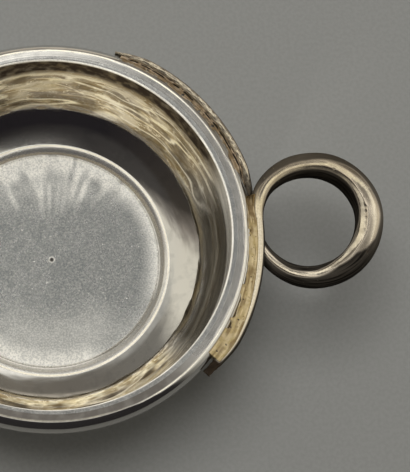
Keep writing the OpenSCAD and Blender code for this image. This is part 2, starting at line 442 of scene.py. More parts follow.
def bowl_marks(g):
    """How matt, pale, filmed, tarnished, darkened and dull the bowl's skin is, with painted highlights
    and a painted dark reflection.
    """
    r, z, turn, deg, inner = g.r, g.z, g.turn, g.deg, g.inner
    far, near, ring, upper = g.far, g.near, g.ring, g.upper
    waves = band_noise(turn, 2.5, g.flow / 1.9, 11)
    wavelets = band_noise(turn, 7, g.flow / 0.9, 12)
    patches = band_noise(turn, 7, g.s / 1.4, 16)
    grains = band_noise(turn, 34, g.s / 0.35, 17)
    blobs = noise(turned(r / 1.4, 0, turn), 15)

    lip_top = within(r, MOUTH_R + 0.25, LIP_R, 0.08) * (z > BOWL_H - 0.04)
    # lip_line, crest_line, lit_lip and low_wall mark painted highlights and a painted sheen.
    lip_line = within(g.row, g.inner_rows, g.inner_rows + 4, 1.5)
    lit_lip = inner * ring * ease((z - LIT_LIP_Z) / 1.8)
    on_riser = inner * within(r, WELL_R + 0.2, CREST_R - 0.4, 0.3)
    crest_line = inner * within(r, CREST_R - 0.15, CREST_R + 0.1, 0.15)
    low_wall = inner * far * ease((deg - 65) / 25) * (r > CREST_R) * ease((LOW_WALL_R - r) / 3.4)
    # Painted highlights on the upper wall: wavy bright lines, patches and beads.
    wavelet_lines = ease(1.2 - np.abs(wavelets) / 0.1) * ease(patches + 0.6)
    lines = most(ease(1.4 - np.abs(waves) / 0.1), wavelet_lines)
    glint = upper * most(lines, 0.5 * ease((patches - 0.15) / 0.3)) * ease((GLINT_TOP_Z - z) / 3)
    glint = glint * (far + 0.1 * within(deg, 10, 50, 20) + 0.6 * near)
    beads = inner * near * within(r + 0.4 * waves, BEAD_IN, BEAD_OUT, 0.5)
    gilt = upper * most(far, near)
    brown = gilt * (1 - lines)
    # Darker towards the lip on the far side.
    collar_mark = inner * ease((z - COLLAR_MARK_Z - 1.2 * g.blows - 0.8 * g.drawn) / 4.5)
    collar_mark = collar_mark * ease((BOWL_H - 0.3 - z) / 0.2)

    marks = {
        "satin": most(
            inner * ease((WELL_R - 0.2 - r) / 0.5),
            lip_top * (0.45 + 0.4 * near),
            0.35 * (1 - inner) * (z < 0.05),
        ),
        # Pale matt skin, and painted highlights on the crest, the lip's inner edge, the upper wall below
        # the lip, the lower far wall, and glints and beads on the upper wall.
        "frost": most(
            inner * well_frost(r, turn, blobs, g.rays),
            on_riser * (0.22 + 0.1 * near),
            crest_line * (0.8 + 0.2 * far + 0.2 * g.ripples),
            lip_line * (0.85 + 0.3 * g.ripples),
            0.75 * lit_lip * (0.8 + 0.3 * g.drawn),
            0.15 * low_wall,
            glint,
            beads * ease((grains + 0.05) / 0.3),
            inner * within(r, PRICK_R + 0.05, PRICK_R + 0.15, 0.1),
        ),
        "film": most(
            gilt * (0.9 + 0.2 * g.drawn),
            beads,
            0.12 * (1 - inner) * (1 - lip_top),
            0.45 * crest_line,
        ),
        # Painted dark reflection on the upper wall between the far and near sides, below the lit part by
        # the lip.
        "stain": upper * ring * (0.92 + 0.15 * g.drawn) * (1 - ease((z - STAIN_TOP_Z) / 2.0)),
        "grime": most(
            1.15 * collar_mark * far,
            0.8 * inner * ease((PRICK_R - r) / 0.15),
            0.4 * lip_top * turn_within(deg, *NEAR_FLAT),
            brown * (0.2 + 0.2 * near + 0.5 * ease((0.1 - patches) / 0.5)),
        ),
        "dull": most(0.1 * inner * near * ease((r - CREST_R - 0.3) / 2), 0.5 * on_riser),
    }
    return {key: np.clip(value, 0, 1) for key, value in marks.items()}


def make_bowl():
    g = bowl_grid()
    grain = turned(MOUTH_R, g.flow, g.turn)
    surface("bowl", "bowl_silver", bowl_points(g), poles=True, grain=grain, **bowl_marks(g))


# Rim wire: depths of wear
FLAT_DEEP = 0.004
EDGE_DEEP = 0.05
DENT_DEEP = 0.025


def round_point(a):
    """The rim's round in section: a is 0 at its outermost and a right angle less FLAT_TURN at the flat."""
    return RIM_R - ROUND_R + ROUND_R * np.cos(a), ROUND_Z + ROUND_R * np.sin(a)


def rim_profile():
    """The rim's closed outline: up the lip, over the flat and the round, and back along the foot."""
    lip = stack(LIP_R, [FOOT_Z, FOOT_Z + 0.05, BOWL_H - 2, BOWL_H - 0.05, BOWL_H])
    flat_r = [LIP_R + 0.03, *np.linspace(LIP_R + 0.2, FLAT_R - 0.25, 9), FLAT_R - FLAT_EDGE]
    upper = stack(*round_point(np.linspace(math.pi / 2 - FLAT_TURN, 0, 20)))
    upper[0] += (FLAT_EDGE, -FLAT_EDGE * math.tan(FLAT_TURN))
    a = np.radians(np.linspace(0, -90, 10))[1:]
    lower = stack(FLAT_R + (RIM_R - FLAT_R) * np.cos(a), ROUND_Z + (ROUND_Z - FOOT_Z) * np.sin(a))
    foot = stack([LIP_R + 0.6, LIP_R + 0.05], FOOT_Z)
    return np.vstack([lip, stack(flat_r, BOWL_H), upper, lower, foot]).T


def make_rim():
    r, z = rim_profile()
    s = profile_length(r, z)[None, :]
    r, z = r[None, :], z[None, :]
    turn = full_turn(RIM_ROWS)[:, None]
    deg = np.degrees(turn)
    far, near, near_flat, tail_flat = (
        turn_within(deg, *stretch) for stretch in (FAR_RIM, NEAR_RIM, NEAR_FLAT, TAIL_FLAT)
    )
    on_flat = within(r, LIP_R + 0.02, FLAT_R - FLAT_EDGE, 0.15) * (z > BOWL_H - 0.01)
    on_round = ease((r - FLAT_R) / 0.5)
    edge = within(r, FLAT_R - 0.15, FLAT_R + 0.3, 0.2) * (z > BOWL_H - 0.4)
    drop = FLAT_DEEP * on_flat * (band_noise(turn, 7, s / 2, 31) - 1)
    wear = EDGE_DEEP * edge * ease(band_noise(turn, 12, s, 33))
    dent = DENT_DEEP * on_round * (band_noise(turn, 9, s / 2.5, 35) - 1)
    points = turned(r + rim_shift(turn) + dent - wear, z + drop - 0.6 * wear, turn)

    # Painted highlight along the flat's outer edge, placed by the angle round the rim.
    line_r = FLAT_R - 0.2 + 0.4 * within(deg, -60, 10, 20)
    line = within(r, line_r - 0.06, line_r + 0.08, 0.09) * (z > BOWL_H - 0.5)
    frost = line * (0.9 + 0.35 * band_noise(turn, 14, 0, 37))
    film = most(0.05 + 0.5 * on_round * ease((ROUND_Z + 0.5 - z) / 1.5), 0.5 * frost)
    # The flat is darker on the near side and by the tail and lighter on the far side; painted shade darkens
    # the round on the near side.
    flat_stain = on_flat * (0.62 + 0.38 * near_flat - 0.55 * far + 0.35 * tail_flat)
    round_stain = 0.75 * near * ease((r - FLAT_R - 0.4) / 0.3) * (z > FOOT_Z + 0.5)
    surface(
        "rim_wire", "rim_silver", points, loop=True, grain=turned(RIM_R, s, turn),
        satin=0.62 * on_flat * (1 - 0.8 * far + 0.5 * near_flat) + 0.04 * on_round,
        frost=frost,
        film=film,
        stain=flat_stain + round_stain,
        # Darker along the wire's foot and on the near side's flat.
        grime=most(0.7 * ease((FOOT_Z + 0.3 - z) / 0.3), 0.7 * near_flat * on_flat),
    )


# Bar

def place(x, y, z, face, w, h):
    """Places along the bar: its middle, the way its outer face looks, its width and its height."""
    return {"x": x, "y": y, "z": z, "face": face, "w": w, "h": h}


def rim_place(deg, w, h, z):
    turn = np.radians(deg)
    r = RIM_R + SEAT_GAP + w / 2 + rim_shift(turn)
    return place(r * np.cos(turn), r * np.sin(turn), z + 0 * deg, turn, w, h)


def blunt_place(deg):
    run = arc_mm(deg + BLUNT_DEG)
    full_w = mix(ARM_W, BLUNT_W, ease(-deg / BLUNT_DEG))
    w = mix(BLUNT_END_W, full_w, ease(run / BLUNT_TAPER))
    h = mix(BLUNT_END_H, ARM_H, np.clip(run / BLUNT_CUT, 0, 1))
    return rim_place(deg, w, h, ARM_Z - (ARM_H - h) / 2)


# Slight bends of the ring: outward by, from, to and soft edge as shares of the way round it
RING_BENDS = [(0.15, 0.37, 0.43, 0.12), (-0.2, 0.6, 0.66, 0.14), (-0.18, 0.17, 0.24, 0.08)]


def loop_place(u):
    swell = np.maximum(0, np.sin(math.pi * u**BAR_SKEW))
    w = mix(ARM_W, BAR_D, swell)
    h = mix(ARM_H, BAR_D, swell)
    turn = math.pi * (1 - 2 * u)
    bent = sum(out * within(u, low, high, soft) for out, low, high, soft in RING_BENDS)
    x = RING_X + (RING_RX + w / 2 + bent) * np.cos(turn)
    y = (RING_RY + w / 2 + bent) * np.sin(turn)
    return place(x, y, ARM_Z - STRAND_DROP * ease(u), turn + math.pi, w, h)


def tail_place(deg):
    run = arc_mm(TAIL_DEG - deg)
    full_w = mix(ARM_W, TAIL_W, ease(arc_mm(deg) / TAIL_NECK))
    w = mix(TIP_W, full_w, ease(run / TAIL_TAPER))
    h = mix(TIP_H, ARM_H, ease(run / TAIL_TAPER))
    climb = ease((deg - CLIMB_START) / (CLIMB_END - CLIMB_START))
    return rim_place(deg, w, h, ARM_Z - STRAND_DROP * (1 - climb))


def joined(*places):
    return {key: np.concatenate([p[key] for p in places])[:, None] for key in places[0]}


def skin(p, a, grow=0.0):
    """Points on the bar's skin: a is 0 on its outer face, a right angle on top and two against the rim."""
    power = 2 / BAR_SQUARE
    side = (p["w"] / 2 + grow) * np.sign(np.cos(a)) * np.abs(np.cos(a)) ** power
    up = (p["h"] / 2 + grow) * np.sign(np.sin(a)) * np.abs(np.sin(a)) ** power
    return stack(p["x"] + side * np.cos(p["face"]), p["y"] + side * np.sin(p["face"]), p["z"] + up)


# Depths of forging and wear on the bar
FORGED_DEEP = 0.045
SMALL_DEEP = 0.012
ROUGH_DEEP = 0.09
BROKEN_DEEP = 0.24
TIP_THIN = 0.22
TIP_THIN_DEG = 4
FACET_DEEP = 0.14
FACET_CUT = 0.75
# Small pits on the ring: how far round the ring, where on the section in degrees, radius and depth
RING_PITS = [
    (0.435, 104, 0.36, 0.14), (0.444, 80, 0.32, 0.13), (0.475, 70, 0.28, 0.11), (0.49, 66, 0.26, 0.1),
    (0.508, 68, 0.24, 0.09), (0.525, 66, 0.28, 0.11), (0.545, 68, 0.26, 0.1), (0.6, 112, 0.42, 0.18),
    (0.588, 106, 0.28, 0.11), (0.33, 76, 0.24, 0.07), (0.7, 85, 0.22, 0.07), (0.38, 120, 0.24, 0.08),
]
# Tarnish and painted shade round the ring: how far round it, where the dark begins on the hole's side
# and on the outer side as cosines on the section, and how dark the outer side is
TARNISH_AND_SHADE = [
    (0.0, 0.75, 0.75, 0.6), (0.06, 0.75, 0.7, 0.6), (0.12, 0.52, 0.24, 0.92), (0.18, 0.52, 0.08, 0.86),
    (0.25, 0.52, 0.05, 0.88), (0.32, 0.5, 0.2, 0.92), (0.38, 0.52, 0.4, 0.92), (0.44, 0.68, 0.38, 0.9),
    (0.5, 0.81, 0.55, 0.85), (0.56, 0.93, 0.4, 0.93), (0.62, 0.93, -0.15, 1.0), (0.68, 0.72, -0.2, 1.0),
    (0.75, 0.25, 0.18, 1.0), (0.82, 0.05, 0.38, 1.0), (0.88, 0.2, 0.35, 0.95), (1.0, 0.3, 0.3, 0.9),
]
# Painted highlights round the ring: how far round it, the middle and half width as cosines, and how bright
TOP_LINE = [
    (0.03, 0.3, 0.12, 0.5), (0.12, 0.14, 0.1, 0.7), (0.18, 0.12, 0.08, 0.35), (0.25, 0.22, 0.05, 0.2),
    (0.32, 0.06, 0.06, 0.55), (0.38, 0.05, 0.07, 0.7), (0.44, -0.12, 0.07, 0.75), (0.5, -0.17, 0.14, 0.55),
    (0.56, -0.12, 0.1, 0.3), (0.6, -0.1, 0.08, 0.0),
]
HOLE_LINE = [
    (0.1, 0.42, 0.03, 0.0), (0.14, 0.43, 0.03, 0.45), (0.18, 0.42, 0.04, 0.5), (0.25, 0.4, 0.04, 0.25),
    (0.34, 0.42, 0.04, 0.15), (0.38, 0.42, 0.05, 0.4), (0.44, 0.47, 0.1, 0.7), (0.5, 0.57, 0.13, 0.65),
    (0.56, 0.5, 0.22, 0.8), (0.62, 0.66, 0.14, 0.65), (0.68, 0.5, 0.07, 0.7), (0.72, 0.25, 0.06, 0.7),
    (0.75, 0.06, 0.05, 0.8), (0.82, -0.16, 0.05, 0.65), (0.86, -0.05, 0.08, 0.3), (0.93, 0.0, 0.1, 0.0),
]
LINE_EDGE = 0.035


def along_ring(u, table):
    """The columns of a table between its stops, which are its first column."""
    stops, *columns = np.array(table).T
    return [np.interp(u, stops, column) for column in columns]


def highlight_band(u, across, line):
    """How bright a painted highlight is at each place of the ring; across is the cosine on the section."""
    middle, half, bright = along_ring(u, line)
    return bright * within(across, middle - half, middle + half, LINE_EDGE)


def bar_grid():
    """The bar's places and noise.

    u runs round the ring and is -1 off it. blunt and tail are degrees along the arms, 1 and -1 off them.
    """
    blunt_deg = np.linspace(-BLUNT_DEG, 0, BLUNT_ROWS)[:-1]
    loop_u = np.linspace(0, 1, LOOP_ROWS)
    tail_deg = np.linspace(0, TAIL_DEG, TAIL_ROWS)[1:]
    p = joined(blunt_place(blunt_deg), loop_place(loop_u), tail_place(tail_deg))
    centre = np.concatenate([p["x"], p["y"], p["z"]], axis=1)
    s = np.concatenate([[0], np.cumsum(np.linalg.norm(np.diff(centre, axis=0), axis=1))])[:, None]
    a = np.linspace(0, 2 * math.pi, BAR_COLUMNS, endpoint=False)[None, :]
    section = stack(0 * a, np.cos(a), np.sin(a)) * 1.3
    along = stack(s, 0, 0)
    blunt = np.concatenate([blunt_deg, 0 * loop_u + 1, 0 * tail_deg + 1])[:, None]
    tail = np.concatenate([0 * blunt_deg - 1, 0 * loop_u - 1, tail_deg])[:, None]
    rough_tail = within(tail, 12, TAIL_DEG, 5) * (0.3 + 0.7 * ease(-np.cos(a) + 0.4))
    return SimpleNamespace(
        p=p, s=s, a=a, blunt=blunt, tail=tail,
        u=np.concatenate([0 * blunt_deg - 1, loop_u, 0 * tail_deg - 1])[:, None],
        forged=noise(along / 4.5 + section, 41),
        small=noise(along / 1.4 + section * 2, 43),
        ragged=noise(along / 0.7 + section * 3, 45),
        rough=most(rough_tail, 0.9 * ease((-BLUNT_DEG + 4.5 - blunt) / 2)),
    )


def bar_points(g):
    """Places on the bar's skin. Notes in g where it is pitted and worn to a facet."""
    grow = FORGED_DEEP * (g.forged - 1) + SMALL_DEEP * (g.small - 1)
    grow = grow * (1 - 0.7 * (g.tail > 0)) + ROUGH_DEEP * g.rough * (g.ragged - 0.3)
    broken = ease((-BLUNT_DEG + 5 - g.blunt) / 2)
    grow = grow + BROKEN_DEEP * broken * (g.ragged + g.small - 1.0)
    grow = grow - TIP_THIN * ease((g.tail - TAIL_DEG + TIP_THIN_DEG) / TIP_THIN_DEG)
    g.pitted = 0 * grow
    for at_u, at_deg, radius, depth in RING_PITS:
        run = (g.u - at_u) * 2 * math.pi * (RING_RX + BAR_D / 2)
        over = (g.a - math.radians(at_deg)) * BAR_D / 2
        near = np.exp(-(run**2 + over**2) / (radius / 1.5) ** 2) * (g.u >= 0)
        grow = grow - depth * near
        g.pitted = most(g.pitted, near)
    points = skin(g.p, g.a, grow)
    worn = within(g.u, 0.43, 0.6, 0.1)
    over_top = np.maximum(0, points[..., 2] - (g.p["z"] + g.p["h"] / 2 - FACET_DEEP))
    points[..., 2] -= FACET_CUT * worn * over_top
    g.facet = worn * ease((over_top - 0.03) / 0.08)
    return points


def bar_marks(g):
    """How matt, pale and filmed the bar's skin is, where it has tarnish and dirt, and where highlights and
    shade are painted on it.
    """
    u, tail, rough, ragged = g.u, g.tail, g.rough, g.ragged
    across, up = np.cos(g.a), np.sin(g.a)
    on_loop = (u >= 0).astype(float)
    on_top = (up > 0).astype(float)
    facing_rim = ease(-across * 1.6 - 0.5) * (1 - on_loop)
    outer_face = ease((across - 0.45) / 0.2) * (1 - on_loop)
    underside = ease(-up * 1.5 - 0.1)
    crossing = most(ease((0.05 - np.abs(u)) / 0.05), ease((u - 0.95) / 0.05))
    end = ease((-BLUNT_DEG + 4.4 - g.blunt) / 0.8) * (g.blunt <= 0)
    hole_from, outer_from, outer_dark = along_ring(u, TARNISH_AND_SHADE)
    # Painted highlight along the blunt arm's top, and painted light on the tail arm's top.
    blunt_top_light = within(across, -0.3, 0.4, 0.15) * on_top * (tail < 0) * ease((0.09 - u) / 0.05)
    tail_top = within(across, -0.7, 0.35, 0.15) * on_top * ease((tail - 8) / 6)
    lines = most(*(highlight_band(u, across + 0.03 * g.forged, line) for line in (TOP_LINE, HOLE_LINE)))
    return {
        "satin": np.clip(0.04 + 0.45 * rough + 0.8 * g.facet, 0, 1),
        "frost": most(
            0.55 * blunt_top_light * (1 - end),
            0.5 * tail_top * ease(0.6 + ragged),
            on_loop * on_top * lines * (0.85 + 0.45 * g.small),
        ),
        "film": 0.35 + 0.3 * rough + 0.35 * (1 - np.abs(up)) + 0.6 * within(u, 0.07, 0.36, 0.1),
        # Tarnish and painted shade: dark hole and outer sides of the ring, painted shade on the arms' outer
        # faces and undersides, tarnish on the worn facet.
        "stain": most(
            on_loop * ease((across - hole_from) / 0.14 + 0.5),
            on_loop * outer_dark * ease((-across - outer_from) / 0.22 + 0.5),
            0.95 * outer_face,
            0.6 * underside,
            0.4 * g.facet,
        ),
        # Dirt in pits, ragged hollows and at the broken end, and painted shade in the groove beside the rim
        # and under the crossing.
        "grime": most(
            0.75 * facing_rim,
            0.9 * g.pitted,
            0.45 * underside * crossing,
            0.5 * rough * ease(-1.5 * ragged),
            1.2 * end,
        ),
    }


def make_bar():
    g = bar_grid()
    grain = stack(g.s, g.p["w"] / 2 * np.cos(g.a), g.p["h"] / 2 * np.sin(g.a))
    surface("handle_bar", "handle_silver", bar_points(g), caps=True, grain=grain, **bar_marks(g))


# Solder

SOLDER_FOOT = math.radians(-20)
LOOP_SOLDER = 0.075
CROSSING_RUN = 3.0
CROSSING_SPREAD = math.radians(44)
FILLET_HOLLOW = 0.175
# Pits in the solder: degrees along the arm, share of the way from the bar to the rim, radius and depth
BLUNT_PITS = [
    (-3.4, 0.8, 0.24, 0.55), (-4.7, 0.78, 0.16, 0.3), (-17, 0.4, 0.12, 0.1), (-24, 0.6, 0.12, 0.1),
    (-30, 0.45, 0.14, 0.12), (-33, 0.7, 0.12, 0.1), (-38, 0.4, 0.12, 0.12), (-41, 0.62, 0.14, 0.12),
    (-11, 0.5, 0.1, 0.08), (5.4, 0.9, 0.5, 0.2), (4.2, 0.96, 0.35, 0.1),
]
TAIL_PITS = [
    (24, 0.7, 0.3, 0.25), (31, 0.6, 0.35, 0.3), (37, 0.75, 0.25, 0.25), (44, 0.65, 0.35, 0.3),
    (50, 0.7, 0.25, 0.25), (57, 0.6, 0.3, 0.25),
]


def groove_solder(name, slot, p, turn, shape, pits, seed):
    """Solder in the groove between the rim wire and an arm.

    The shape's rows run along the arm: fill is how high the solder climbs the rim's round and reach how
    far it runs over the bar, both as angles; sag is how hollow it is and lumps how uneven; a crack runs
    along it at a share of its width from the bar, with a half width and a depth; burnt is how brown it is.
    """
    rows = {key: np.broadcast_to(value, turn.shape)[:, None] for key, value in shape.items()}
    turn = turn[:, None]
    s = turn * RIM_R
    t = np.linspace(0, 1, SOLDER_SIDE)[None, :]
    wire_r, wire_z = round_point(mix(rows["fill"], SOLDER_FOOT, t))
    wire = turned(wire_r + rim_shift(turn), wire_z, turn)
    bar = skin(p, mix(math.pi - SOLDER_FOOT, rows["reach"], t))
    t = np.linspace(0, 1, SOLDER_TOP)[1:-1][None, :]
    top = mix(bar[:, -1:], wire[:, :1], t[..., None])
    hump = np.sin(math.pi * t)
    uneven = 0.7 * line_noise(s / 1.1, seed, 3 * t) + 0.3 * line_noise(s / 0.32, seed + 1, 7 * t)
    wander = 0.04 * line_noise(s / 0.8, seed + 2)
    crack = np.exp(-(((t - rows["crack_at"] - wander) / rows["crack_half"]) ** 2))
    crack = crack * ease(0.9 + 1.1 * line_noise(s / 1.3, seed + 3, level=5))
    height = hump * (rows["lumps"] * uneven - rows["sag"]) - rows["crack_depth"] * crack
    pit_mark = crack * (rows["crack_depth"] > 0.05)
    for at_deg, at_t, radius, depth in pits:
        over = (t - at_t) * 1.8
        near = np.exp(-((s - arc_mm(at_deg)) ** 2 + over**2) / radius**2)
        height = height - depth * near
        pit_mark = most(pit_mark, near)
    top[..., 2] += height
    on_top = {
        "pit": pit_mark,
        "edge": np.abs(2 * t - 1) + 0 * s,
        "level": uneven,
        "streak": line_noise(s / 2.2, seed + 4, 9 * t),
        "burnt": rows["burnt"] + 0 * t,
    }
    marks = {}
    for key, value in on_top.items():
        hidden = np.full((len(s), 2 * SOLDER_SIDE), float(key == "edge"))
        marks[key] = np.concatenate([hidden, value], axis=1)
    surface(name, slot, np.concatenate([wire, bar, top], axis=1), caps=True, **marks)


def make_blunt_solder():
    """It runs the length of the blunt arm and a little way up the loop, where the bar leaves the rim."""
    cut = math.degrees(BLUNT_CUT / RIM_R)
    arm = np.linspace(cut - BLUNT_DEG, 0, 300)
    loop = np.linspace(0, LOOP_SOLDER, 42)[1:]
    places = joined(blunt_place(arm), loop_place(loop))
    toward_end = np.concatenate([ease(-arm / BLUNT_DEG), 0 * loop])
    up_loop = np.concatenate([0 * arm, loop / LOOP_SOLDER])
    reach = np.radians(mix(112, 68, toward_end) + 14 * up_loop)
    beside = skin(places, reach[:, None])[:, 0]
    turn = np.arctan2(beside[:, 1], beside[:, 0])
    deg = np.degrees(turn)
    shape = {
        "fill": np.radians(mix(62, 56, toward_end) - 14 * up_loop),
        "reach": reach,
        "sag": mix(0.1, 0.02, toward_end) + 0.45 * up_loop + 0.9 * up_loop**3,
        "lumps": 0.05 + 0.08 * up_loop,
        "crack_at": mix(0.95, 0.84, toward_end),
        "crack_half": mix(0.08, 0.17, toward_end),
        "crack_depth": mix(0.08, 0.5, ease((-deg - 8) / 30)),
        "burnt": most(ease((deg + 3) / 5), 0.55 * within(deg, -20, -15, 4)),
    }
    groove_solder("blunt_arm_solder", "solder_yellow", places, turn, shape, BLUNT_PITS, 51)


def make_tail_solder():
    deg = np.linspace(CLIMB_END - 6, TAIL_DEG - 2, 380)
    wander = line_noise(deg / 2.2, 61)
    low = ease((CLIMB_END - deg) / 6)
    shape = {
        "fill": np.radians(62 + 5 * wander),
        "reach": np.radians(132 - 10 * wander),
        "sag": 0.02 - 0.08 * wander,
        "lumps": 0.14,
        "crack_at": mix(0.22, 0.4, low),
        "crack_half": mix(0.11, 0.2, low),
        "crack_depth": 0.5,
        "burnt": 0.35 + 0.3 * low + 0.3 * line_noise(deg / 5, 62),
    }
    places = joined(tail_place(deg))
    groove_solder("tail_arm_solder", "solder_brown", places, np.radians(deg), shape, TAIL_PITS, 63)


def plain_marks(level):
    """The marks of solder that has no crack, pits or arm beside it."""
    return {"pit": 0 * level, "edge": 0 * level + 0.5, "level": level, "burnt": 0 * level + 0.7}


def make_crossing_solder():
    steps = np.linspace(-1, 1, 60)
    run_deg = math.degrees(CROSSING_RUN / RIM_R)
    run_loop = CROSSING_RUN / (math.pi * (2 * RING_RY + ARM_W))
    before, after = steps[steps < 0], steps[steps >= 0]
    over = joined(blunt_place(before * run_deg), loop_place(after * run_loop))
    under = joined(loop_place(1 + before * run_loop), tail_place(after * run_deg))
    spread = mix(-CROSSING_SPREAD, CROSSING_SPREAD, np.linspace(0, 1, 12)[None, :])
    top = skin(over, 1.5 * math.pi + spread)
    bottom = skin(under, 0.5 * math.pi + spread)
    t = np.linspace(0, 1, 8)[1:-1][None, :]
    outer = mix(top[:, -1:], bottom[:, :1], t[..., None])
    inner = mix(bottom[:, -1:], top[:, :1], t[..., None])
    s = (steps * CROSSING_RUN)[:, None]
    for side, sign in ((outer, 1), (inner, -1)):
        bulge = 0.12 * np.sin(math.pi * t) * line_noise(s / 0.6, 71, 4 * t + 9 * sign)
        side[..., 0] += sign * bulge
    ring = np.concatenate([top, outer, bottom, inner], axis=1)
    surface("crossing_solder", "solder_brown", ring, caps=True, **plain_marks(noise(ring / 0.5, 73)))


def make_rim_solder():
    turn = full_turn(RIM_ROWS)[:, None]
    t = np.linspace(0, 1, 10)[None, :]
    beads = band_noise(turn, 40, 4 * t, 83)
    leg = FILLET_LEG * (0.86 + 0.1 * band_noise(turn, 9, 2 * t, 81) + 0.04 * beads)
    leg = leg * (1 - FILLET_HOLLOW * np.sin(math.pi * t))
    ring_r = np.concatenate([LIP_R + leg * t, 0 * turn + LIP_R], axis=1)
    ring_z = np.concatenate([FOOT_Z - leg * (1 - t), 0 * turn + FOOT_Z], axis=1)
    points = turned(ring_r + rim_shift(turn), ring_z, turn)
    level = np.concatenate([beads, 0 * turn], axis=1)
    surface("rim_solder", "solder_brown", points, loop=True, **plain_marks(level))


# Materials

class Value:
    """A number, vector or colour in a shader. Products, and what less leaves, are kept from 0 to 1."""

    def __init__(self, made, output=0):
        self.tree = made.id_data
        self.socket = made.outputs[output]

    def math(self, operation, a, b, clamp=False):
        return Value(node(self.tree, "Math", {0: a, 1: b}, operation=operation, use_clamp=clamp))

    def __mul__(self, other):
        return self.math("MULTIPLY", self, other, True)

    def __add__(self, other):
        return self.math("ADD", self, other)

    def __rsub__(self, other):
        return self.math("SUBTRACT", other, self)

    def less(self, other):
        return self.math("SUBTRACT", self, other, True)

    def larger(self, other):
        return self.math("MAXIMUM", self, other)

    def away_from(self, middle):
        return self.math("ABSOLUTE", self.math("SUBTRACT", self, middle), 0.0)

    def stretched(self, by):
        return Value(node(self.tree, "VectorMath", {0: self, 1: by}, operation="MULTIPLY"))

    def fade(self, low, high, to_low=0.0, to_high=1.0):
        inputs = {"Value": self, "From Min": low, "From Max": high, "To Min": to_low, "To Max": to_high}
        return Value(node(self.tree, "MapRange", inputs, interpolation_type="SMOOTHSTEP"))

    def blend(self, a, b):
        """Colour a where this share is 0 and colour b where it is 1."""
        inputs = {0: self, 6: opaque(a), 7: opaque(b)}
        return Value(node(self.tree, "Mix", inputs, data_type="RGBA"), 2)

    def texture(self, size_mm, detail, unit=MM):
        """Noise with features of a size in millimetres; unit is a millimetre in this coordinate."""
        inputs = {"Vector": self, "Scale": 1 / (size_mm * unit), "Detail": detail}
        return Value(node(self.tree, "TexNoise", inputs), "Fac")

    def bump(self, strength, distance_mm):
        inputs = {"Height": self, "Strength": strength, "Distance": distance_mm * MM}
        return Value(node(self.tree, "Bump", inputs))


def feed(made, inputs):
    """Link values to a node's inputs, and set constants straight on them."""
    for key, value in inputs.items():
        if isinstance(value, Value):
            made.id_data.links.new(value.socket, made.inputs[key])
        else:
            made.inputs[key].default_value = value


def node(tree, kind, inputs, **settings):
    made = tree.nodes.new("ShaderNode" + kind)
    for key, value in settings.items():
        setattr(made, key, value)
    feed(made, inputs)
    return made


def marks_of(tree, *names):
    return [Value(node(tree, "Attribute", {}, attribute_name=name), "Fac") for name in names]


def opaque(tone):
    return tone if isinstance(tone, Value) else (*tone, 1.0)


def tinted(tone, by):
    return [c * share for c, share in zip(tone, np.broadcast_to(by, 3))]


def new_material(name):
    """A new material's nodes, its shader and the place on the object in metres."""
    MATERIALS[name] = bpy.data.materials.new(name)
    MATERIALS[name].use_nodes = True
    tree = MATERIALS[name].node_tree
    return tree, tree.nodes["Principled BSDF"], Value(node(tree, "TexCoord", {}), "Object")


# Silver: how its crinkles are drawn out, thick film and gilt painted highlights as tints, the metal kept
# where matt satin is pale or lit by painted highlights, and the colour of its dirt and painted shade
CRINKLE_STRETCH = (1 / 2.6, 1 / 2.6, 1 / 0.8)
THICK_FILM = 0.75
GILT_HIGHLIGHT_TINT = (1.0, 0.93, 0.7)
HAZE = 0.55
DIRT_AND_SHADE = (0.036, 0.026, 0.018)


